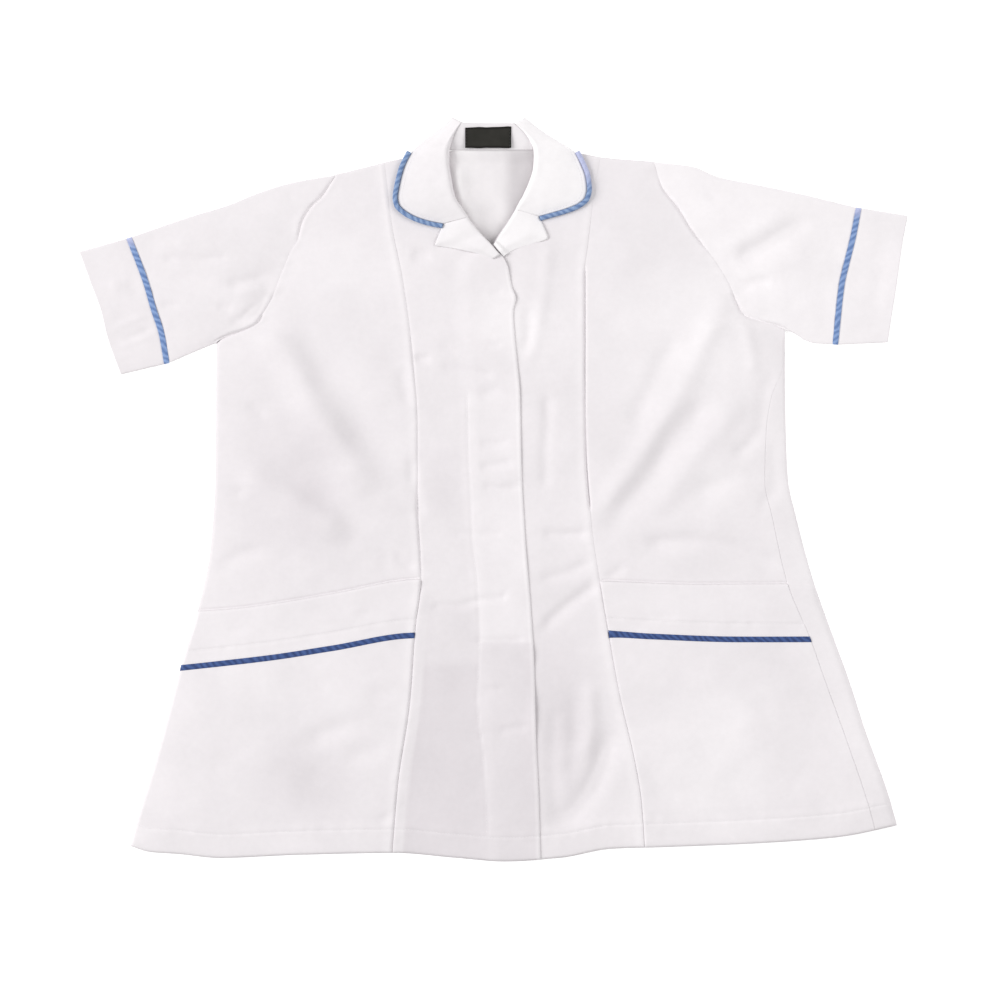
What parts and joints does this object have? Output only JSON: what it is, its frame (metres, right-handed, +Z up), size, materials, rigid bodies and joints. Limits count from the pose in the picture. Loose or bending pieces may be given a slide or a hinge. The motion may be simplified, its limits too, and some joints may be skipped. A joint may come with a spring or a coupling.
{
  "type": "nurse's tunic",
  "caption": "Short-sleeved white tunic laid flat and face up, with a revers collar, panelled front, wide pockets and blue trim.",
  "frame": {"origin": "on the surface that the tunic lies on, under the middle of its outline", "axes": "+Z up, away from that surface; +Y from the hem to the collar; +X towards the wearer's left sleeve"},
  "size_m": [0.8291, 0.7449, 0.0157],
  "materials": {
    "white_cloth": "matt white polyester and cotton twill",
    "blue_trim": "mid-blue woven trim",
    "label_cloth": "black woven label, bare"
  },
  "bodies": {
    "root": {"back": "white_cloth", "back_turned_edge": "white_cloth", "front_side_right": "white_cloth", "front_side_left": "white_cloth", "front_centre_right": "white_cloth", "front_centre_left": "white_cloth", "sleeve_right": "white_cloth", "sleeve_left": "white_cloth", "cuff_right": "white_cloth", "cuff_left": "white_cloth", "cuff_trim_right": "blue_trim", "cuff_trim_left": "blue_trim", "pocket_right": "white_cloth", "pocket_left": "white_cloth", "pocket_band_right": "white_cloth", "pocket_band_left": "white_cloth", "pocket_trim_right": "blue_trim", "pocket_trim_left": "blue_trim", "collar_right": "white_cloth", "collar_left": "white_cloth", "collar_back": "white_cloth", "collar_piping_right": "blue_trim", "collar_piping_left": "blue_trim", "revers_right": "white_cloth", "revers_left": "white_cloth", "label": "label_cloth"}
  },
  "joints": []
}
